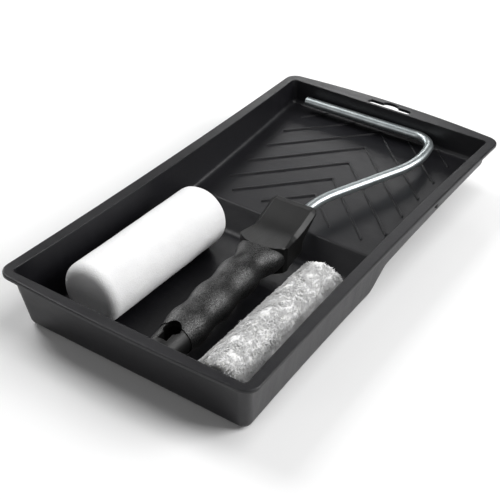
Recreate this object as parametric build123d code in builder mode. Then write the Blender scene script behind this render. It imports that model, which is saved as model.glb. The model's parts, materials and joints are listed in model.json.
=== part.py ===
from build123d import *
from math import sin, cos, tan, radians, sqrt
import os

os.makedirs("parts", exist_ok=True)

# Mini paint roller tray set, millimetres, +Z up.
# Origin: on the floor, under the middle of the tray's outline.
# +Y runs from the deep well (front) to the hang slot (rear), +X to the right.

# ---------------------------------------------------------------- tray
rim_w = 153.0          # flange outline at the four corners
rim_front = -142.75    # front edge of the flange at the corners
front_bulge = 2.0      # the front flange widens a little to the middle
rim_rear = 139.25      # rear edge of the flange at the corners
rear_bulge = 5.5       # the rear flange widens to the middle for the hang slot
side_bow = 1.9         # each long side is drawn in at its middle
rim_h = 36.5
flange_t = 1.9
corner_r = 8.0
flange_in = 6.1        # flange outline to the mouth's edge, at the sides and rear
flange_in_front = 4.7
mouth_bow = 2.8
wall_t = 1.6
draft = 5.2            # degrees, sides and rear
front_draft = 12.0     # degrees, front wall
floor_t = 1.8
outer_r = 5.0          # outer corners and bottom edge
inner_r = 2.6          # the same edges inside

nose_y, nose_z = 10.65, 13.2      # front edge of the ramp's upper face
foot_y = -3.25                   # foot of the step face on the well floor
ramp_slope = 0.064
mouth_rear = rim_rear - flange_in
mouth_front = rim_front + flange_in_front
mouth_hw = rim_w / 2 - flange_in
ramp_end = mouth_rear + 6.0


def ramp_z(y):
    return nose_z + ramp_slope * (y - nose_y)


rib_w, rib_h = 1.3, 0.7
rib_pitch = 21.0
rib_hw = 54.0          # half width of the ribbed panel
rib_front = 21.6       # front limit of the ribbed panel
rib_back = 130.0
first_apex = 44.9

slot_len, slot_w = 30.5, 4.8
slot_y = 137.2
bump_w, bump_h = 11.0, 2.6

lug_y, lug_len, lug_h = 60.5, 17.0, 5.5

# ---------------------------------------------------------------- roller frame
fr_o = Vector(8.4, 2.35, 23.5)
fr_yaw, fr_tilt = 1.9, 2.0
rod_r = 3.0
rod_pts = [(2.9, -60.0), (2.9, 24.0), (36.3, 95.0), (32.6, 125.3), (-60.0, 125.3)]
rod_radii = [60.0, 60.0, 13.5]
grip_u, grip_h = 0.8, -2.4       # grip axis beside and below the rod's plane
spine_r = 6.6
seam_v = -116.0

# ---------------------------------------------------------------- sleeves
sleeve_len = 100.0
tube_r, tube_in = 8.0, 6.6
insert_bore = 5.05
bush_r, bush_bore = 5.0, 3.05
foam_r, pile_r = 18.0, 15.5
lie_gap = 0.3
foam_pos = (-40.3, -116.5, floor_t + foam_r + lie_gap)
foam_yaw = 0.8
pile_pos = (49.3, -130.4, floor_t + pile_r + lie_gap)
pile_yaw = 0.4


# ================================================================ profiles
ym = (mouth_front + mouth_rear) / 2


def side_arcs(hw, y0, y1, bow):
    mid = (y0 + y1) / 2
    return ((hw, y0), (hw - bow, mid), (hw, y1))


with BuildSketch() as mouth_outline:
    with BuildLine():
        Line((-mouth_hw, mouth_front), (mouth_hw, mouth_front))
        ThreePointArc(*side_arcs(mouth_hw, mouth_front, mouth_rear, mouth_bow))
        Line((mouth_hw, mouth_rear), (-mouth_hw, mouth_rear))
        ThreePointArc((-mouth_hw, mouth_rear), (-mouth_hw + mouth_bow, ym), (-mouth_hw, mouth_front))
    make_face()

with BuildSketch() as shell_outline:
    add(mouth_outline.sketch)
    offset(amount=wall_t, kind=Kind.INTERSECTION)

with BuildSketch() as flange_outline:
    with BuildLine():
        hw = rim_w / 2
        mid = (rim_front + rim_rear) / 2
        ThreePointArc((-hw, rim_front), (0, rim_front - front_bulge), (hw, rim_front))
        ThreePointArc((hw, rim_front), (hw - side_bow, mid), (hw, rim_rear))
        ThreePointArc((hw, rim_rear), (0, rim_rear + rear_bulge), (-hw, rim_rear))
        ThreePointArc((-hw, rim_rear), (-hw + side_bow, mid), (-hw, rim_front))
    make_face()
    fillet(flange_outline.vertices(), corner_r)


def under_line(drop, foot, nose, r_foot, r_nose):
    """Region under the floor-step-ramp line, in (y, z)."""
    far = 200.0
    with BuildSketch() as sk:
        with BuildLine():
            FilletPolyline(
                (-far, floor_t - drop),
                (foot, floor_t - drop),
                (nose, ramp_z(nose) - drop),
                (far, ramp_z(far) - drop),
                radius=[r_foot, r_nose],
            )
            Polyline((far, ramp_z(far) - drop), (far, -60), (-far, -60), (-far, floor_t - drop))
        make_face()
    return sk.sketch


under_out = under_line(floor_t, foot_y - 1.3, nose_y - 1.5, 8.0, 5.0)
under_in = under_line(0.0, foot_y, nose_y, 6.2, 2.2)


def wall_foot_edges(part):
    """Edges where the walls meet the floor, step and ramp."""
    low = [f for f in part.faces() if f.normal_at().Z < -0.3]
    found = ShapeList()
    for f in low:
        for e in f.edges():
            shared = sum(1 for g in low for h in g.edges() if h.is_same(e))
            if shared == 1:
                found.append(e)
    return found


# ================================================================ tray
def before_front_wall(y_top):
    """Region in front of the leaning front wall, in (y, z)."""
    with BuildSketch() as sk:
        with BuildLine():
            Polyline(
                (y_top, rim_h + 0.5), (y_top, rim_h), (y_top + rim_h * tan(radians(front_draft)), 0),
                (y_top + rim_h * tan(radians(front_draft)), -1), (y_top - 30, -1), (y_top - 30, rim_h + 0.5), close=True
            )
        make_face()
    return sk.sketch


def upright_edges(part):
    return part.edges().filter_by(lambda e: e.length > 5 and abs(e.tangent_at(0.5).Z) > 0.9)


with BuildPart() as cavity:
    with BuildSketch(Plane.XY.offset(rim_h)):
        add(mouth_outline.sketch)
    extrude(amount=-rim_h, taper=draft)
    with BuildSketch(Plane.YZ):
        add(before_front_wall(mouth_front))
    extrude(amount=120, both=True, mode=Mode.SUBTRACT)
    with BuildSketch(Plane.YZ):
        add(under_in)
    extrude(amount=120, both=True, mode=Mode.SUBTRACT)
    fillet(ShapeList([*upright_edges(cavity.part), *wall_foot_edges(cavity.part)]), inner_r)

ramp_plane = Plane(origin=(0, nose_y, nose_z), x_dir=(1, 0, 0), z_dir=(0, -ramp_slope, 1))

with BuildPart() as tray:
    with BuildSketch(Plane.XY.offset(rim_h)):
        add(shell_outline.sketch)
    extrude(amount=-rim_h, taper=draft)
    with BuildSketch(Plane.YZ):
        add(before_front_wall(mouth_front - wall_t))
    extrude(amount=120, both=True, mode=Mode.SUBTRACT)
    with BuildSketch(Plane.YZ):
        add(under_out)
    extrude(amount=120, both=True, mode=Mode.SUBTRACT)
    fillet(ShapeList([*upright_edges(tray.part), *wall_foot_edges(tray.part)]), outer_r)
    # rim flange
    with BuildSketch(Plane.XY.offset(rim_h)):
        add(flange_outline.sketch)
    extrude(amount=-flange_t)
    # stacking lugs under the long flanges
    with BuildSketch(Plane.XY.offset(rim_h - flange_t / 2)):
        for s in (-1, 1):
            with Locations((s * (rim_w / 2 - side_bow * 0.62 - 1.6), lug_y)):
                RectangleRounded(1.9, lug_len, 0.9)
    extrude(amount=-(lug_h - flange_t / 2))
    add(cavity.part, mode=Mode.SUBTRACT)
    # raised 45 degree ribs on the ramp
    with BuildSketch(ramp_plane.offset(-0.5)):
        for k in range(7):
            apex = first_apex + k * rib_pitch
            x_end = min(rib_hw, apex - rib_front)
            x_start = max(0.0, apex - rib_back)
            w = rib_w / sqrt(2)
            for s in (-1, 1):
                p0 = (s * x_start, apex - x_start - nose_y)
                p1 = (s * x_end, apex - x_end - nose_y)
                with BuildLine():
                    Polyline(
                        (p0[0], p0[1] + w), (p1[0], p1[1] + w), (p1[0], p1[1] - w), (p0[0], p0[1] - w), close=True
                    )
                make_face()
    extrude(amount=rib_h + 0.5)
    # hang slot with its round bump towards the edge
    with BuildSketch(Plane.XY.offset(rim_h + 1)):
        with Locations((0, slot_y)):
            SlotOverall(slot_len, slot_w)
        with Locations((0, slot_y + slot_w / 2)):
            Ellipse(bump_w / 2, bump_h)
    extrude(amount=-6, mode=Mode.SUBTRACT)
    # rolled edges of the rim
    fillet(
        tray.faces().filter_by(Axis.Z).sort_by(Axis.Z)[-1].outer_wire().edges(), 0.8
    )
tray.part.label = "tray"
export_step(tray.part, "parts/tray.step")

# ================================================================ roller frame
cy, sy = cos(radians(fr_yaw)), sin(radians(fr_yaw))
ct, st = cos(radians(fr_tilt)), sin(radians(fr_tilt))
fr_u = Vector(cy, sy, 0)
fr_v = Vector(-sy * ct, cy * ct, st)
fr_n = fr_u.cross(fr_v)
frame_plane = Plane(origin=fr_o, x_dir=fr_u, z_dir=fr_n)
side_plane = Plane(origin=fr_o, x_dir=fr_v, z_dir=fr_u)


def section_plane(v):
    return Plane(origin=fr_o + fr_v * v, x_dir=fr_u, z_dir=fr_v * -1)


with BuildPart() as frame_rod:
    with BuildLine(frame_plane) as rod_line:
        FilletPolyline(*rod_pts, radius=rod_radii)
    with BuildSketch(section_plane(rod_pts[0][1])):
        with Locations((rod_pts[0][0], 0)):
            Circle(rod_r)
    sweep(path=rod_line.line)
    tip = frame_rod.faces().filter_by(GeomType.PLANE).sort_by(Axis.X)[0]
    chamfer(tip.edges(), 0.6)
frame_rod.part.label = "frame_rod"
export_step(frame_rod.part, "parts/frame_rod.step")

# plain moulding: overhanging hook block, spine inside the grip, tail
# height of the smooth face and its half width along the handle
face_line = [(8.0, 10.0, 11.8), (0.6, 10.0, 11.8), (-4.0, 8.55, 11.7), (-9.0, 6.95, 11.6), (-13.5, 5.75, 11.4), (-18.0, 5.0, 11.4), (-22.5, 4.85, 12.0), (-27.0, 5.1, 13.0), (-31.0, 5.5, 13.6), (-35.0, 6.0, 11.6), (-42.0, 6.9, 9.6)]
side_bevel = [2.5, 2.5, 2.5, 2.5, 2.5, 2.4, 2.1, 1.5, 1.2, 3.0, 4.6]

with BuildPart() as head_plan:
    with BuildSketch(frame_plane.offset(-20)):
        with BuildLine():
            Polyline((0, 6), (14.3, 6), (14.1, -11.0))
            Spline((14.1, -11.0), (13.8, -17.0), (14.0, -23.5), (14.7, -29.5))
            Polyline((14.7, -29.5), (13.8, -32.5))
            ThreePointArc((13.8, -32.5), (7.6, -36.9), (0, -38.4))
            mirror(about=Plane.YZ)
        make_face()
    extrude(amount=40)

with BuildPart() as head_block:
    with BuildSketch(side_plane):
        with BuildLine():
            Line((4.2, 8.8), (4.2, 10.0))
            Line((4.2, 10.0), (0.6, 10.0))
            Spline(*[(v, z) for v, z, w in face_line[1:]])
            Polyline((-42.0, 6.9), (-42.0, -11.6), (-14.0, -10.6), (-11.5, -9.0), (-11.0, -2.3), (4.2, 8.8))
        make_face()
    extrude(amount=20, both=True)
    add(head_plan.part, mode=Mode.INTERSECT)
    # bevelled sides of the face
    with BuildPart(mode=Mode.PRIVATE) as envelope:
        for (v, z, w), c in zip(face_line, side_bevel):
            with BuildSketch(section_plane(v)):
                with BuildLine():
                    Polyline(
                        (-w, z + 0.12), (w, z + 0.12), (w + c, z + 0.12 - c), (w + c, -14), (-w - c, -14), (-w - c, z + 0.12 - c), close=True
                    )
                make_face()
        loft(ruled=True)
    add(envelope.part, mode=Mode.INTERSECT)

with BuildPart() as handle_core:
    add(head_block.part)
    # spine
    with BuildSketch(section_plane(-30.0)):
        with Locations((grip_u, grip_h)):
            Circle(spine_r)
    extrude(amount=abs(seam_v) - 30.0 + 1.0)
    # tail
    with BuildSketch(section_plane(seam_v)):
        with Locations((grip_u, grip_h)):
            Ellipse(9.4, 8.9)
    with BuildSketch(section_plane(-134.0)):
        with Locations((grip_u, grip_h)):
            Ellipse(8.6, 8.0)
    loft()
    end_face = handle_core.faces().sort_by(lambda f: (f.center() - fr_o).dot(fr_v))[0]
    fillet(end_face.edges(), 4.5)
    # hang hole: round end and a narrower square tail
    with BuildSketch(frame_plane.offset(-30)):
        with Locations((grip_u, -118.0)):
            Circle(4.6)
        with Locations((grip_u, -122.5)):
            Rectangle(5.4, 9.0)
    extrude(amount=60, mode=Mode.SUBTRACT)
    add(frame_rod.part, mode=Mode.SUBTRACT)
handle_core.part.label = "handle_core"
export_step(handle_core.part, "parts/handle_core.step")

# crests and troughs of the finger grooves: place along the handle, half width, half height
grooves = [
    (-28.0, 13.6, 9.0),
    (-36.0, 13.8, 9.6),
    (-48.5, 10.0, 9.4),
    (-59.5, 11.4, 11.0),
    (-71.0, 10.0, 9.6),
    (-83.0, 11.4, 11.0),
    (-94.5, 10.0, 9.6),
    (-105.5, 11.3, 10.9),
    (seam_v, 9.8, 9.4),
]
grip_sections = [grooves[0]]
for (v0, a0, b0), (v1, a1, b1) in zip(grooves, grooves[1:]):
    for f in (0.25, 0.5, 0.75, 1.0):
        m = (1 - cos(radians(180 * f))) / 2
        grip_sections.append((v0 + (v1 - v0) * f, a0 + (a1 - a0) * m, b0 + (b1 - b0) * m))
with BuildPart() as handle_grip:
    for v, a, b in grip_sections:
        with BuildSketch(section_plane(v)):
            with Locations((grip_u, grip_h)):
                Ellipse(a, b)
    loft()
    add(head_plan.part, mode=Mode.SUBTRACT)
    with BuildSketch(frame_plane.offset(-20)):
        with Locations((0, -22.4)):
            Rectangle(40, 20)
    extrude(amount=40, mode=Mode.SUBTRACT)
    with BuildSketch(section_plane(-20.0)):
        with Locations((grip_u, grip_h)):
            Circle(spine_r)
    extrude(amount=110, mode=Mode.SUBTRACT)
    with BuildSketch(frame_plane.offset(-30)):
        with Locations((grip_u, -118.0)):
            Circle(4.6)
        with Locations((grip_u, -122.5)):
            Rectangle(5.4, 9.0)
    extrude(amount=60, mode=Mode.SUBTRACT)
handle_grip.part.label = "handle_grip"
export_step(handle_grip.part, "parts/handle_grip.step")


# ================================================================ sleeves
def axis_plane(pos, yaw):
    """Plane whose X runs along the sleeve from its closed end, Y is radial and up."""
    d = Vector(sin(radians(yaw)), cos(radians(yaw)), 0)
    return Plane(origin=Vector(*pos), x_dir=d, z_dir=d.cross(Vector(0, 0, 1)))


def ring(plane, w0, w1, r0, r1):
    """Rectangular profile w0..w1 along the axis and r0..r1 from it."""
    with Locations(((w0 + w1) / 2, (r0 + r1) / 2)):
        Rectangle(w1 - w0, r1 - r0)


for sleeve, cover_r, pos, yaw, end_r in (
    ("foam", foam_r, foam_pos, foam_yaw, 5.0),
    ("pile", pile_r, pile_pos, pile_yaw, 3.5),
):
    pl = axis_plane(pos, yaw)
    ax = Axis(pl.origin, pl.x_dir)
    closed = 7.0                     # thickness of the cover over its closed end

    with BuildPart() as cover:
        with BuildSketch(pl):
            with BuildLine():
                Polyline((0, 0), (0, cover_r - end_r))
                RadiusArc((0, cover_r - end_r), (end_r, cover_r), end_r)
                Polyline(
                    (end_r, cover_r), (sleeve_len - 1.2, cover_r), (sleeve_len, cover_r - 1.2), (sleeve_len, tube_r),
                    (closed, tube_r), (closed, 0), (0, 0)
                )
            make_face()
        revolve(axis=ax)
    cover.part.label = sleeve + "_cover"
    export_step(cover.part, "parts/" + sleeve + "_cover.step")

    with BuildPart() as tube:
        with BuildSketch(pl):
            ring(pl, closed, sleeve_len - 1.2, tube_in, tube_r)
        revolve(axis=ax)
    tube.part.label = sleeve + "_core_tube"
    export_step(tube.part, "parts/" + sleeve + "_core_tube.step")

    # plug that closes the tube; its pocket takes the tip of the axle
    with BuildPart() as plug:
        with BuildSketch(pl):
            ring(pl, closed, closed + 3.0, 0, tube_in)
            ring(pl, closed + 3.0, closed + 11.0, bush_bore + 0.1, tube_in)
        revolve(axis=ax)
    plug.part.label = sleeve + "_end_plug"
    export_step(plug.part, "parts/" + sleeve + "_end_plug.step")

    # bearing insert pressed into the open end
    with BuildPart() as insert:
        with BuildSketch(pl):
            ring(pl, 80.0, sleeve_len - 1.2, insert_bore, tube_in)
            ring(pl, sleeve_len - 1.2, sleeve_len, insert_bore, tube_r - 0.15)
        revolve(axis=ax)
    insert.part.label = sleeve + "_end_insert"
    export_step(insert.part, "parts/" + sleeve + "_end_insert.step")

    # bush that stays on the axle while the sleeve turns
    with BuildPart() as bush:
        with BuildSketch(pl):
            ring(pl, 74.0, sleeve_len + 1.5, bush_bore, bush_r)
            ring(pl, sleeve_len + 0.3, sleeve_len + 1.5, bush_bore, 6.3)
        revolve(axis=ax)
        with BuildSketch(pl):
            ring(pl, 77.4, 78.6, 4.3, 6.5)
        revolve(axis=ax, mode=Mode.SUBTRACT)
    bush.part.label = sleeve + "_axle_bush"
    export_step(bush.part, "parts/" + sleeve + "_axle_bush.step")

    # open spring ring that keeps the bush in the insert
    with BuildPart() as clip:
        with BuildSketch(pl):
            ring(pl, 77.5, 78.5, 4.3, 6.0)
        revolve(axis=ax, revolution_arc=300)
    clip.part.label = sleeve + "_spring_ring"
    export_step(clip.part, "parts/" + sleeve + "_spring_ring.step")
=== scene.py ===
import json, math, random
import bpy, bmesh
import numpy as np
from mathutils import Matrix, Vector, noise


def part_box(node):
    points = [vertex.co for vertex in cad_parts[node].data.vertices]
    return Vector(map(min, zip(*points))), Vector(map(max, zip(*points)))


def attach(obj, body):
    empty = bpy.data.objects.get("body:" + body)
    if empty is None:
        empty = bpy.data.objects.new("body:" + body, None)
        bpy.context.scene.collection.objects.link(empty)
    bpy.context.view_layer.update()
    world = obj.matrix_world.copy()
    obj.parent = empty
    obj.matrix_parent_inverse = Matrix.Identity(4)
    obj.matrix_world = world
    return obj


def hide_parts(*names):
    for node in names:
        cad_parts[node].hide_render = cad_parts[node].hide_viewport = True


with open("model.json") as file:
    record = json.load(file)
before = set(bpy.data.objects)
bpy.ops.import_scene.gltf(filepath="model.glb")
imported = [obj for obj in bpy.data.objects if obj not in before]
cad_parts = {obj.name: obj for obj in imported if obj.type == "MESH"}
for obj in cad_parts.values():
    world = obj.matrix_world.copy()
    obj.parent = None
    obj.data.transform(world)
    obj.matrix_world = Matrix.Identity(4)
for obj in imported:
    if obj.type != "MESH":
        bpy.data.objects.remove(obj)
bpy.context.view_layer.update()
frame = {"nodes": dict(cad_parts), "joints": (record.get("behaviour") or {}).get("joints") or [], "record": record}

scene = bpy.context.scene
NODES = frame["nodes"]
REC = frame["record"]


# ---------------------------------------------------------------- node helpers
def new_mat(name):
    m = bpy.data.materials.new(name)
    m.use_nodes = True
    nt = m.node_tree
    nt.nodes.clear()
    out = nt.nodes.new("ShaderNodeOutputMaterial")
    bsdf = nt.nodes.new("ShaderNodeBsdfPrincipled")
    nt.links.new(bsdf.outputs["BSDF"], out.inputs["Surface"])
    return m, nt, bsdf


def N(nt, kind, **props):
    n = nt.nodes.new(kind)
    for k, v in props.items():
        setattr(n, k, v)
    return n


def coords(nt, scale=(1, 1, 1), rot=(0, 0, 0), loc=(0, 0, 0)):
    tc = N(nt, "ShaderNodeTexCoord")
    mp = N(nt, "ShaderNodeMapping")
    mp.inputs["Scale"].default_value = scale
    mp.inputs["Rotation"].default_value = rot
    mp.inputs["Location"].default_value = loc
    nt.links.new(tc.outputs["Object"], mp.inputs["Vector"])
    return mp.outputs["Vector"]


def noise_tex(nt, vec, scale, detail=4, rough=0.55, dist=0.0):
    n = N(nt, "ShaderNodeTexNoise")
    n.inputs["Scale"].default_value = scale
    n.inputs["Detail"].default_value = detail
    n.inputs["Roughness"].default_value = rough
    n.inputs["Distortion"].default_value = dist
    nt.links.new(vec, n.inputs["Vector"])
    return n.outputs["Fac"]


def voronoi(nt, vec, scale, feature="F1", rnd=1.0):
    n = N(nt, "ShaderNodeTexVoronoi")
    n.feature = feature
    n.inputs["Scale"].default_value = scale
    n.inputs["Randomness"].default_value = rnd
    nt.links.new(vec, n.inputs["Vector"])
    return n.outputs["Distance"]


def ramp(nt, fac, stops):
    r = N(nt, "ShaderNodeValToRGB")
    e = r.color_ramp.elements
    while len(e) < len(stops):
        e.new(0.5)
    for el, (p, c) in zip(e, stops):
        el.position = p
        el.color = (*c, 1) if len(c) == 3 else c
    nt.links.new(fac, r.inputs["Fac"])
    return r.outputs["Color"]


def mrange(nt, fac, a, b, c, d):
    r = N(nt, "ShaderNodeMapRange")
    r.inputs["From Min"].default_value = a
    r.inputs["From Max"].default_value = b
    r.inputs["To Min"].default_value = c
    r.inputs["To Max"].default_value = d
    nt.links.new(fac, r.inputs["Value"])
    return r.outputs["Result"]


def math_n(nt, op, a, b):
    m = N(nt, "ShaderNodeMath", operation=op)
    for i, v in enumerate((a, b)):
        if isinstance(v, (int, float)):
            m.inputs[i].default_value = v
        else:
            nt.links.new(v, m.inputs[i])
    return m.outputs["Value"]


def bump(nt, height, strength, distance, normal=None):
    b = N(nt, "ShaderNodeBump")
    b.inputs["Strength"].default_value = strength
    b.inputs["Distance"].default_value = distance
    nt.links.new(height, b.inputs["Height"])
    if normal is not None:
        nt.links.new(normal, b.inputs["Normal"])
    return b.outputs["Normal"]


def bevel(nt, radius, samples=4):
    b = N(nt, "ShaderNodeBevel")
    b.samples = samples
    b.inputs["Radius"].default_value = radius
    return b.outputs["Normal"]


def mix_col(nt, fac, a, b):
    m = N(nt, "ShaderNodeMix", data_type="RGBA")
    for sock, v in ((m.inputs[0], fac), (m.inputs[6], a), (m.inputs[7], b)):
        if isinstance(v, (int, float)):
            sock.default_value = v
        elif isinstance(v, tuple):
            sock.default_value = (*v, 1)
        else:
            nt.links.new(v, sock)
    return m.outputs[2]


# ---------------------------------------------------------------- materials
def mat_tray():
    m, nt, b = new_mat("tray_black_pp")
    v = coords(nt)
    cloud = noise_tex(nt, v, 22.0, 5, 0.6, 0.4)
    flow = noise_tex(nt, coords(nt, (3.0, 40.0, 3.0), (0, 0, 0.35)), 6.0, 4, 0.6)
    fine = noise_tex(nt, v, 1500.0, 3, 0.6)
    grain = noise_tex(nt, v, 3600.0, 2, 0.5)
    dust = ramp(nt, voronoi(nt, v, 330.0), [(0.0, (1, 1, 1)), (0.035, (1, 1, 1)), (0.05, (0, 0, 0)), (1, (0, 0, 0))])
    keep = ramp(nt, noise_tex(nt, v, 30.0, 3), [(0.0, (0, 0, 0)), (0.56, (0, 0, 0)), (0.64, (1, 1, 1)), (1, (1, 1, 1))])
    dusty = math_n(nt, "MULTIPLY", dust, keep)
    base = ramp(nt, cloud, [(0.3, (0.0046, 0.0045, 0.0060)), (0.7, (0.0072, 0.0070, 0.0090))])
    worn = mix_col(nt, mrange(nt, flow, 0.45, 0.8, 0.0, 0.25), base, (0.011, 0.0108, 0.0135))
    col = mix_col(nt, math_n(nt, "MULTIPLY", dusty, 0.35), worn, (0.22, 0.22, 0.22))
    nt.links.new(col, b.inputs["Base Color"])
    rough = math_n(nt, "ADD", mrange(nt, cloud, 0.2, 0.8, 0.33, 0.45), mrange(nt, flow, 0.3, 0.8, -0.03, 0.05))
    nt.links.new(rough, b.inputs["Roughness"])
    b.inputs["IOR"].default_value = 1.46
    n0 = bevel(nt, 0.0009)
    n1 = bump(nt, noise_tex(nt, v, 90.0, 2, 0.5), 0.25, 0.0006, n0)
    n2 = bump(nt, fine, 0.22, 0.00022, n1)
    n3 = bump(nt, grain, 0.12, 0.0001, n2)
    nt.links.new(n3, b.inputs["Normal"])
    return m


def mat_handle():
    m, nt, b = new_mat("handle_black_core")
    v = coords(nt)
    cloud = noise_tex(nt, v, 60.0, 4, 0.6)
    streak = noise_tex(nt, coords(nt, (900.0, 60.0, 60.0)), 1.0, 5, 0.65)
    fine = noise_tex(nt, v, 2600.0, 3, 0.6)
    col = ramp(nt, math_n(nt, "ADD", math_n(nt, "MULTIPLY", cloud, 0.5), math_n(nt, "MULTIPLY", streak, 0.5)),
               [(0.3, (0.0030, 0.0030, 0.0030)), (0.7, (0.0060, 0.0060, 0.0058))])
    nt.links.new(col, b.inputs["Base Color"])
    nt.links.new(mrange(nt, streak, 0.3, 0.7, 0.36, 0.48), b.inputs["Roughness"])
    b.inputs["Specular IOR Level"].default_value = 0.32
    n0 = bevel(nt, 0.0008)
    n1 = bump(nt, streak, 0.15, 0.00025, n0)
    n2 = bump(nt, fine, 0.35, 0.00016, n1)
    nt.links.new(n2, b.inputs["Normal"])
    return m


def mat_grip():
    m, nt, b = new_mat("grip_black_textured")
    v = coords(nt)
    cells = voronoi(nt, v, 1350.0)
    fine = noise_tex(nt, v, 1900.0, 3, 0.7)
    cloud = noise_tex(nt, v, 70.0, 3, 0.6)
    col = ramp(nt, fine, [(0.3, (0.0035, 0.0035, 0.0035)), (0.72, (0.0085, 0.0085, 0.0085))])
    nt.links.new(col, b.inputs["Base Color"])
    spark = math_n(nt, "ADD", mrange(nt, cloud, 0.3, 0.7, 0.31, 0.37), mrange(nt, fine, 0.35, 0.65, -0.06, 0.10))
    nt.links.new(spark, b.inputs["Roughness"])
    grain = math_n(nt, "ADD", mrange(nt, cells, 0.1, 0.5, 0.5, -0.1), mrange(nt, fine, 0.35, 0.65, 0.15, 0.95))
    nt.links.new(grain, b.inputs["Specular IOR Level"])
    h = math_n(nt, "ADD", math_n(nt, "MULTIPLY", cells, 0.5), math_n(nt, "MULTIPLY", fine, 0.8))
    n1 = bump(nt, h, 0.55, 0.00032)
    nt.links.new(n1, b.inputs["Normal"])
    return m


def mat_zinc(name="zinc_plated_wire", axis_scale=(1, 1, 1)):
    m, nt, b = new_mat(name)
    v = coords(nt)
    cloud = noise_tex(nt, v, 130.0, 5, 0.65, 0.6)
    draw = noise_tex(nt, v, 900.0, 3, 0.7)
    spots = ramp(nt, noise_tex(nt, v, 420.0, 2), [(0.0, (0, 0, 0)), (0.6, (0, 0, 0)), (0.72, (1, 1, 1)), (1, (1, 1, 1))])
    base = ramp(nt, cloud, [(0.25, (0.36, 0.40, 0.42)), (0.5, (0.46, 0.50, 0.51)), (0.8, (0.58, 0.62, 0.62))])
    col = mix_col(nt, math_n(nt, "MULTIPLY", spots, 0.35), base, (0.74, 0.76, 0.76))
    nt.links.new(col, b.inputs["Base Color"])
    b.inputs["Metallic"].default_value = 1.0
    nt.links.new(mrange(nt, draw, 0.25, 0.8, 0.33, 0.46), b.inputs["Roughness"])
    n1 = bump(nt, draw, 0.06, 0.00006)
    n2 = bump(nt, cloud, 0.05, 0.0002, n1)
    nt.links.new(n2, b.inputs["Normal"])
    return m


def mat_foam():
    m, nt, b = new_mat("foam_white_cells")
    v = coords(nt)
    cells = voronoi(nt, v, 1500.0)
    pores = ramp(nt, voronoi(nt, v, 900.0), [(0.0, (1, 1, 1)), (0.16, (0.6, 0.6, 0.6)), (0.32, (0, 0, 0)), (1, (0, 0, 0))])
    soft = noise_tex(nt, v, 55.0, 4, 0.6)
    col = mix_col(nt, math_n(nt, "MULTIPLY", pores, 0.12),
                  ramp(nt, soft, [(0.3, (0.82, 0.82, 0.825)), (0.7, (0.88, 0.88, 0.88))]), (0.78, 0.78, 0.77))
    nt.links.new(col, b.inputs["Base Color"])
    nt.links.new(mrange(nt, soft, 0.3, 0.7, 0.86, 0.94), b.inputs["Roughness"])
    b.inputs["Specular IOR Level"].default_value = 0.25
    b.inputs["Subsurface Weight"].default_value = 0.12
    b.inputs["Subsurface Radius"].default_value = (0.0022, 0.0022, 0.002)
    b.inputs["Subsurface Scale"].default_value = 1.0
    b.inputs["Sheen Weight"].default_value = 0.25
    b.inputs["Sheen Roughness"].default_value = 0.5
    h = math_n(nt, "ADD", cells, math_n(nt, "MULTIPLY", pores, -0.5))
    n1 = bump(nt, h, 0.35, 0.0003)
    n2 = bump(nt, soft, 0.25, 0.0008, n1)
    nt.links.new(n2, b.inputs["Normal"])
    return m


def mat_pile(name, tone, hair_h=0.0004):
    m, nt, b = new_mat(name)
    v = coords(nt)
    clump = noise_tex(nt, v, 160.0, 4, 0.7)
    hair = noise_tex(nt, v, 2300.0, 3, 0.7)
    col = ramp(nt, clump, [(0.25, tuple(0.92 * t for t in tone)), (0.6, tuple(0.98 * t for t in tone)), (0.8, tone)])
    nt.links.new(col, b.inputs["Base Color"])
    nt.links.new(mrange(nt, hair, 0.3, 0.7, 0.75, 0.95), b.inputs["Roughness"])
    b.inputs["Specular IOR Level"].default_value = 0.15
    b.inputs["Subsurface Weight"].default_value = 0.5
    b.inputs["Subsurface Radius"].default_value = (0.0016, 0.0016, 0.0015)
    b.inputs["Subsurface Scale"].default_value = 1.0
    b.inputs["Sheen Weight"].default_value = 0.35
    b.inputs["Sheen Roughness"].default_value = 0.4
    n1 = bump(nt, hair, 0.4, hair_h)
    n2 = bump(nt, clump, 0.35, 0.0010, n1)
    nt.links.new(n2, b.inputs["Normal"])
    return m


def mat_plain(name, c0, c1, rough, met=0.0):
    m, nt, b = new_mat(name)
    v = coords(nt)
    cloud = noise_tex(nt, v, 140.0, 4, 0.6)
    fine = noise_tex(nt, v, 2400.0, 3, 0.6)
    nt.links.new(ramp(nt, cloud, [(0.3, c0), (0.7, c1)]), b.inputs["Base Color"])
    nt.links.new(mrange(nt, cloud, 0.3, 0.7, rough - 0.05, rough + 0.06), b.inputs["Roughness"])
    b.inputs["Metallic"].default_value = met
    n1 = bump(nt, fine, 0.2, 0.00015, bevel(nt, 0.0003))
    nt.links.new(n1, b.inputs["Normal"])
    return m


TRAY, HANDLE, GRIP, ZINC = mat_tray(), mat_handle(), mat_grip(), mat_zinc()
FOAM = mat_foam()
# painted fill light: the backing is given a lighter tone than the fibres of the same pile, to lift the shade that falls
# in the gaps between the fibres
PILE, FIBRE = mat_pile("pile_white_backing", (0.86, 0.86, 0.85)), mat_pile("pile_white_fibres", (0.79, 0.79, 0.78), 0.00005)
CORE = mat_plain("core_natural_pp", (0.74, 0.74, 0.71), (0.82, 0.82, 0.79), 0.42)
BUSH = mat_plain("bush_grey_acetal", (0.19, 0.195, 0.21), (0.25, 0.255, 0.27), 0.36)
SPRING = mat_plain("spring_steel_ring", (0.36, 0.36, 0.38), (0.5, 0.5, 0.52), 0.3, 1.0)


def assign(node, mat):
    o = NODES[node]
    o.data.materials.clear()
    o.data.materials.append(mat)


assign("tray", TRAY)
assign("handle_core", HANDLE)
assign("handle_grip", GRIP)
assign("frame_rod", ZINC)
for k in ("foam", "pile"):
    for n in ("core_tube", "end_plug", "end_insert"):
        assign(f"{k}_{n}", CORE)
    assign(f"{k}_axle_bush", BUSH)
    assign(f"{k}_spring_ring", SPRING)

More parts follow.
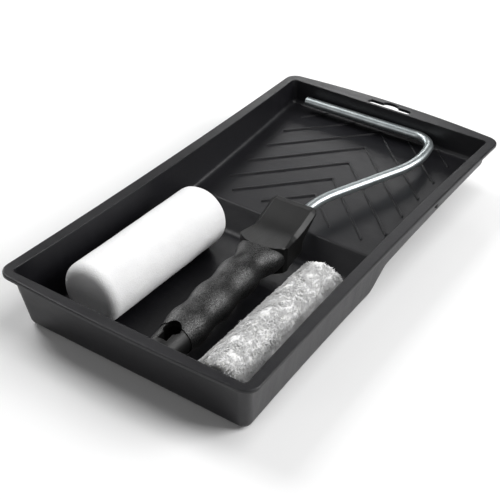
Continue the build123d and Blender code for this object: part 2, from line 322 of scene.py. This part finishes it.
# ---------------------------------------------------------------- sleeves
JOINT = {j["name"]: j for j in frame["joints"]}


def sleeve_frame(joint):
    """Middle of the sleeve's axis, axis towards the open end, and two cross directions."""
    j = JOINT[joint]
    mid = Vector(j["pos_m"])
    ax = Vector(j["axis"]).normalized()
    up = Vector((0, 0, 1))
    side = ax.cross(up).normalized()
    return mid, ax, side, up


def lathe(name, joint, profile, segs, bump_fn=None):
    """Closed ring of (w, r) points turned about the sleeve's axis, with an optional change of radius."""
    mid, ax, side, up = sleeve_frame(joint)
    bm = bmesh.new()
    rings = []
    for i, (w, r) in enumerate(profile):
        if r <= 1e-7:
            rings.append([bm.verts.new(mid + ax * w)])
            continue
        ring = []
        for k in range(segs):
            t = 2 * math.pi * k / segs
            rr, ww = (r, w) if bump_fn is None else bump_fn(w, r, t, i)
            ring.append(bm.verts.new(mid + ax * ww + side * (rr * math.cos(t)) + up * (rr * math.sin(t))))
        rings.append(ring)
    for a, b in zip(rings, rings[1:]):
        if len(a) == 1 and len(b) > 1:
            for k in range(segs):
                bm.faces.new((a[0], b[(k + 1) % segs], b[k]))
        elif len(b) == 1 and len(a) > 1:
            for k in range(segs):
                bm.faces.new((a[k], a[(k + 1) % segs], b[0]))
        else:
            for k in range(segs):
                bm.faces.new((a[k], a[(k + 1) % segs], b[(k + 1) % segs], b[k]))
    bmesh.ops.recalc_face_normals(bm, faces=bm.faces)
    me = bpy.data.meshes.new(name)
    bm.to_mesh(me)
    bm.free()
    o = bpy.data.objects.new(name, me)
    scene.collection.objects.link(o)
    for p in me.polygons:
        p.use_smooth = True
    return o


def arc(cx, cr, rad, a0, a1, n):
    return [(cx + rad * math.cos(a0 + (a1 - a0) * i / n), cr + rad * math.sin(a0 + (a1 - a0) * i / n)) for i in range(n + 1)]


def cover_profile(length, r_out, r_tube, rnd, closed_depth, bore_from, step=0.0011):
    """w from the sleeve's middle: closed end at -length/2, open end at +length/2."""
    h = length / 2
    p = []
    # closed end: face from the centre outwards, a little dished, then the rounded edge
    for i in range(0, 9):
        r = (r_out - rnd) * i / 8
        dish = 0.00035 * (1 - (r / (r_out - rnd)) ** 2)
        p.append((-h + dish, r if i else 0.0))
    p += arc(-h + rnd, r_out - rnd, rnd, math.pi, math.pi / 2, 9)[1:]
    n = max(4, int((length - 2 * rnd) / step))
    for i in range(1, n):
        p.append((-h + rnd + (length - 2 * rnd) * i / n, r_out))
    p += arc(h - rnd, r_out - rnd, rnd, math.pi / 2, 0, 9)
    # open end face down to the bore, then along the bore to the closed part
    for i in range(1, 7):
        p.append((h, (r_out - rnd) + (r_tube - (r_out - rnd)) * i / 6))
    m = 40
    for i in range(1, m + 1):
        p.append((h + (bore_from - h) * i / m, r_tube))
    p.append((bore_from, r_tube * 0.5))
    p.append((bore_from, 0.0))
    return p


EPS = 0.00006
lo_f, hi_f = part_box("foam_cover")
lo_p, hi_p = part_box("pile_cover")
foam_r = (hi_f.z - lo_f.z) / 2
pile_r = (hi_p.z - lo_p.z) / 2
tube_r = (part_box("foam_core_tube")[1].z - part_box("foam_core_tube")[0].z) / 2
LEN = 0.100


def foam_bump(w, r, t, i):
    if r < tube_r + 0.002:
        return r, w
    p = Vector((w * 38, math.cos(t) * 1.3, math.sin(t) * 1.3))
    d = noise.fractal(p * 1.4, 0.9, 2.0, 4) * 0.00016
    return r - 0.00012 + min(d, 0.0001), w


foam = lathe("foam_cover_soft", "foam_spin", cover_profile(LEN - 0.0002, foam_r, tube_r + EPS, 0.0050, 0.007, -LEN / 2 + 0.007), 192, foam_bump)
foam.data.materials.append(FOAM)
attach(foam, "foam_roller")
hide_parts("foam_cover")


def pile_bump(w, r, t, i):
    if r < tube_r + 0.002:
        return r, w
    p = Vector((w * 95, math.cos(t) * 1.9, math.sin(t) * 1.9))
    d = noise.fractal(p * 2.0, 0.75, 2.0, 5) * 0.0007
    return r - 0.0015 + max(-0.0006, min(d, 0.0006)), w


pile = lathe("pile_cover_soft", "pile_spin", cover_profile(LEN - 0.0016, pile_r, tube_r + EPS, 0.0035, 0.007, -LEN / 2 + 0.007), 144, pile_bump)
pile.data.materials.append(PILE)
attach(pile, "pile_roller")
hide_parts("pile_cover")


# fibres: small curved tapering tufts standing on the backing, lying roughly the same way
def fibres(name, joint, r_base, r_tip, length, count, seed):
    rng = random.Random(seed)
    mid, ax, side, up = sleeve_frame(joint)
    verts, faces, nors = [], [], []
    rnd = 0.0035
    for c in range(count):
        w = rng.uniform(-length / 2 - 0.0004, length / 2 + 0.0004)
        t = rng.uniform(0, 2 * math.pi)
        over = abs(w) - (length / 2 - rnd)
        tiltw = 0.0
        rr = r_base
        if over > 0:
            s = min(1.0, over / rnd)
            rr = r_base - rnd * (1 - math.sqrt(max(0.0, 1 - s * s)))
            tiltw = s * 0.9 * (1 if w > 0 else -1)
            if rng.random() < s * (0.6 if w > 0 else 0.8):          # the end face has its own fibres
                r_in = tube_r + 0.0012 if w > 0 else 0.0     # the closed end is covered all over
                rr = math.sqrt(rng.uniform(r_in ** 2, (r_base - rnd * 0.6) ** 2))
                tiltw = 1.6 * (1 if w > 0 else -1)
                w = (length / 2 - 0.0005) * (1 if w > 0 else -1)
        radial = side * math.cos(t) + up * math.sin(t)
        tang = ax.cross(radial).normalized()
        cl = noise.noise_vector(Vector((w * 150, math.cos(t) * 2.4, math.sin(t) * 2.4)))
        lean_t = 0.30 + 0.75 * cl.x + rng.gauss(0, 0.12)
        lean_w = -0.55 + 0.75 * cl.y + rng.gauss(0, 0.12) + tiltw
        L = (r_tip - r_base) * rng.uniform(0.9, 1.2) * (1.0 + 0.35 * cl.z)
        flat = abs(tiltw) >= 1.2
        comb = Vector((lean_t, lean_w, 0))
        comb = (tang * comb.x + ax * comb.y) * (1.0 if comb.length > 0.5 else 1.6)
        d0 = (radial * (0.35 if flat else 0.75) + comb * 0.6).normalized()
        d1 = (radial * (0.10 if flat else 0.16) + comb * 1.2).normalized()
        base = mid + ax * w + radial * (rr - 0.0005)
        wid = rng.uniform(0.00022, 0.00038)
        knee = base + d0 * L * 0.75
        pts = [base, knee, knee + d1 * L * 0.85]
        soft = (ax * (1 if w > 0 else -1) if flat else (radial + ax * tiltw * 0.6)).normalized()
        # keep each tuft inside the sleeve's outer size
        for q in range(1, 3):
            rel = pts[q] - mid
            a = rel.dot(ax)
            perp = rel - ax * a
            lim = r_tip + 0.0004
            if perp.length > lim:
                perp = perp.normalized() * lim
            a = max(-LEN / 2 - 0.0009, min(LEN / 2 + 0.0009, a))
            pts[q] = mid + ax * a + perp
        widths = [wid, wid * 0.9]
        ref = ax if abs(d0.dot(ax)) < 0.8 else tang
        e1 = d0.cross(ref).normalized()
        e2 = d0.cross(e1).normalized()
        b0 = len(verts)
        ph = rng.uniform(0, 2.0)
        for q in range(2):
            for k in range(3):
                a = ph + 2 * math.pi * k / 3
                off = e1 * math.cos(a) + e2 * math.sin(a)
                verts.append(pts[q] + off * widths[q])
                nors.append((soft + off * 0.12).normalized())
        verts.append(pts[2])
        nors.append((soft + d1 * 0.08).normalized())
        faces.append((b0 + 2, b0 + 1, b0))
        for k in range(3):
            a, b = b0 + k, b0 + (k + 1) % 3
            faces.append((a, b, b + 3, a + 3))
        for k in range(3):
            faces.append((b0 + 3 + k, b0 + 3 + (k + 1) % 3, b0 + 6))
    me = bpy.data.meshes.new(name)
    me.from_pydata([tuple(v) for v in verts], [], faces)
    me.update()
    o = bpy.data.objects.new(name, me)
    scene.collection.objects.link(o)
    for p in me.polygons:
        p.use_smooth = True
    me.normals_split_custom_set_from_vertices([tuple(n) for n in nors])
    return o


count = 17500
fib = fibres("pile_fibres", "pile_spin", pile_r - 0.0017, pile_r - 0.0002, LEN - 0.0016, count, 7)
fib.data.materials.append(FIBRE)
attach(fib, "pile_roller")

# ---------------------------------------------------------------- floor, light, camera
def mat_floor():
    m, nt, b = new_mat("floor_pale")
    v = coords(nt)
    cloud = noise_tex(nt, v, 3.0, 3, 0.5)
    nt.links.new(ramp(nt, cloud, [(0.3, (0.90, 0.90, 0.90)), (0.7, (0.93, 0.93, 0.93))]), b.inputs["Base Color"])
    b.inputs["Roughness"].default_value = 0.85
    b.inputs["Specular IOR Level"].default_value = 0.2
    return m


bm = bmesh.new()
S, Z0 = 3.2, -0.0002
grid = [[bm.verts.new((-S + 2 * S * i / 8, -S + 2 * S * j / 8, Z0)) for j in range(9)] for i in range(9)]
for i in range(8):
    for j in range(8):
        bm.faces.new((grid[i][j], grid[i + 1][j], grid[i + 1][j + 1], grid[i][j + 1]))
me = bpy.data.meshes.new("floor")
bm.to_mesh(me)
bm.free()
floor = bpy.data.objects.new("floor", me)
scene.collection.objects.link(floor)
me.materials.append(mat_floor())

world = bpy.data.worlds.new("studio")
scene.world = world
world.use_nodes = True
wn = world.node_tree
bg = wn.nodes["Background"]
bg.inputs["Color"].default_value = (1.0, 1.0, 1.0, 1)
bg.inputs["Strength"].default_value = 0.13


def area(name, loc, target, size, power, sy=None):
    ld = bpy.data.lights.new(name, "AREA")
    ld.shape = "RECTANGLE"
    ld.size = size
    ld.size_y = sy or size
    ld.energy = power
    o = bpy.data.objects.new(name, ld)
    scene.collection.objects.link(o)
    o.location = loc
    d = Vector(target) - Vector(loc)
    o.rotation_euler = d.to_track_quat("-Z", "Y").to_euler()
    return o


C = Vector((0, 0, 0.02))
area("key", (-0.62, 1.28, 0.70), C, 0.45, 2.3, 0.3)
area("fill_right", (1.02, 0.50, 0.80), C, 0.8, 15.0, 0.6)
area("left_high", (-0.95, 0.10, 1.20), C, 0.6, 8.0)
area("left_low", (-1.25, 0.34, 0.50), C, 0.5, 3.6, 0.22)
area("top", (0.45, 0.10, 1.5), C, 0.8, 9.0)
area("front_soft", (-0.25, -1.45, 0.55), C, 0.9, 3.2)

cam_d = bpy.data.cameras.new("cam")
cam = bpy.data.objects.new("cam", cam_d)
scene.collection.objects.link(cam)
scene.camera = cam
cam_d.sensor_width = 36.0
cam_d.lens = 1039.13 / 500 * 36.0
cam_d.clip_start = 0.01
yaw, pitch, roll = (math.radians(a) for a in (31.801, 35.401, 2.808))
fwd = Vector((-math.sin(yaw) * math.cos(pitch), math.cos(yaw) * math.cos(pitch), -math.sin(pitch)))
right = Vector((math.cos(yaw), math.sin(yaw), 0))
up = right.cross(fwd)
cx = right * math.cos(roll) + up * math.sin(roll)
cy = -right * math.sin(roll) + up * math.cos(roll)
R = Matrix((cx, cy, -fwd)).transposed().to_4x4()
cam.matrix_world = Matrix.Translation(Vector((0.24799, -0.42668, 0.34984))) @ R

scene.view_settings.view_transform = "Standard"
scene.view_settings.exposure = 0.0
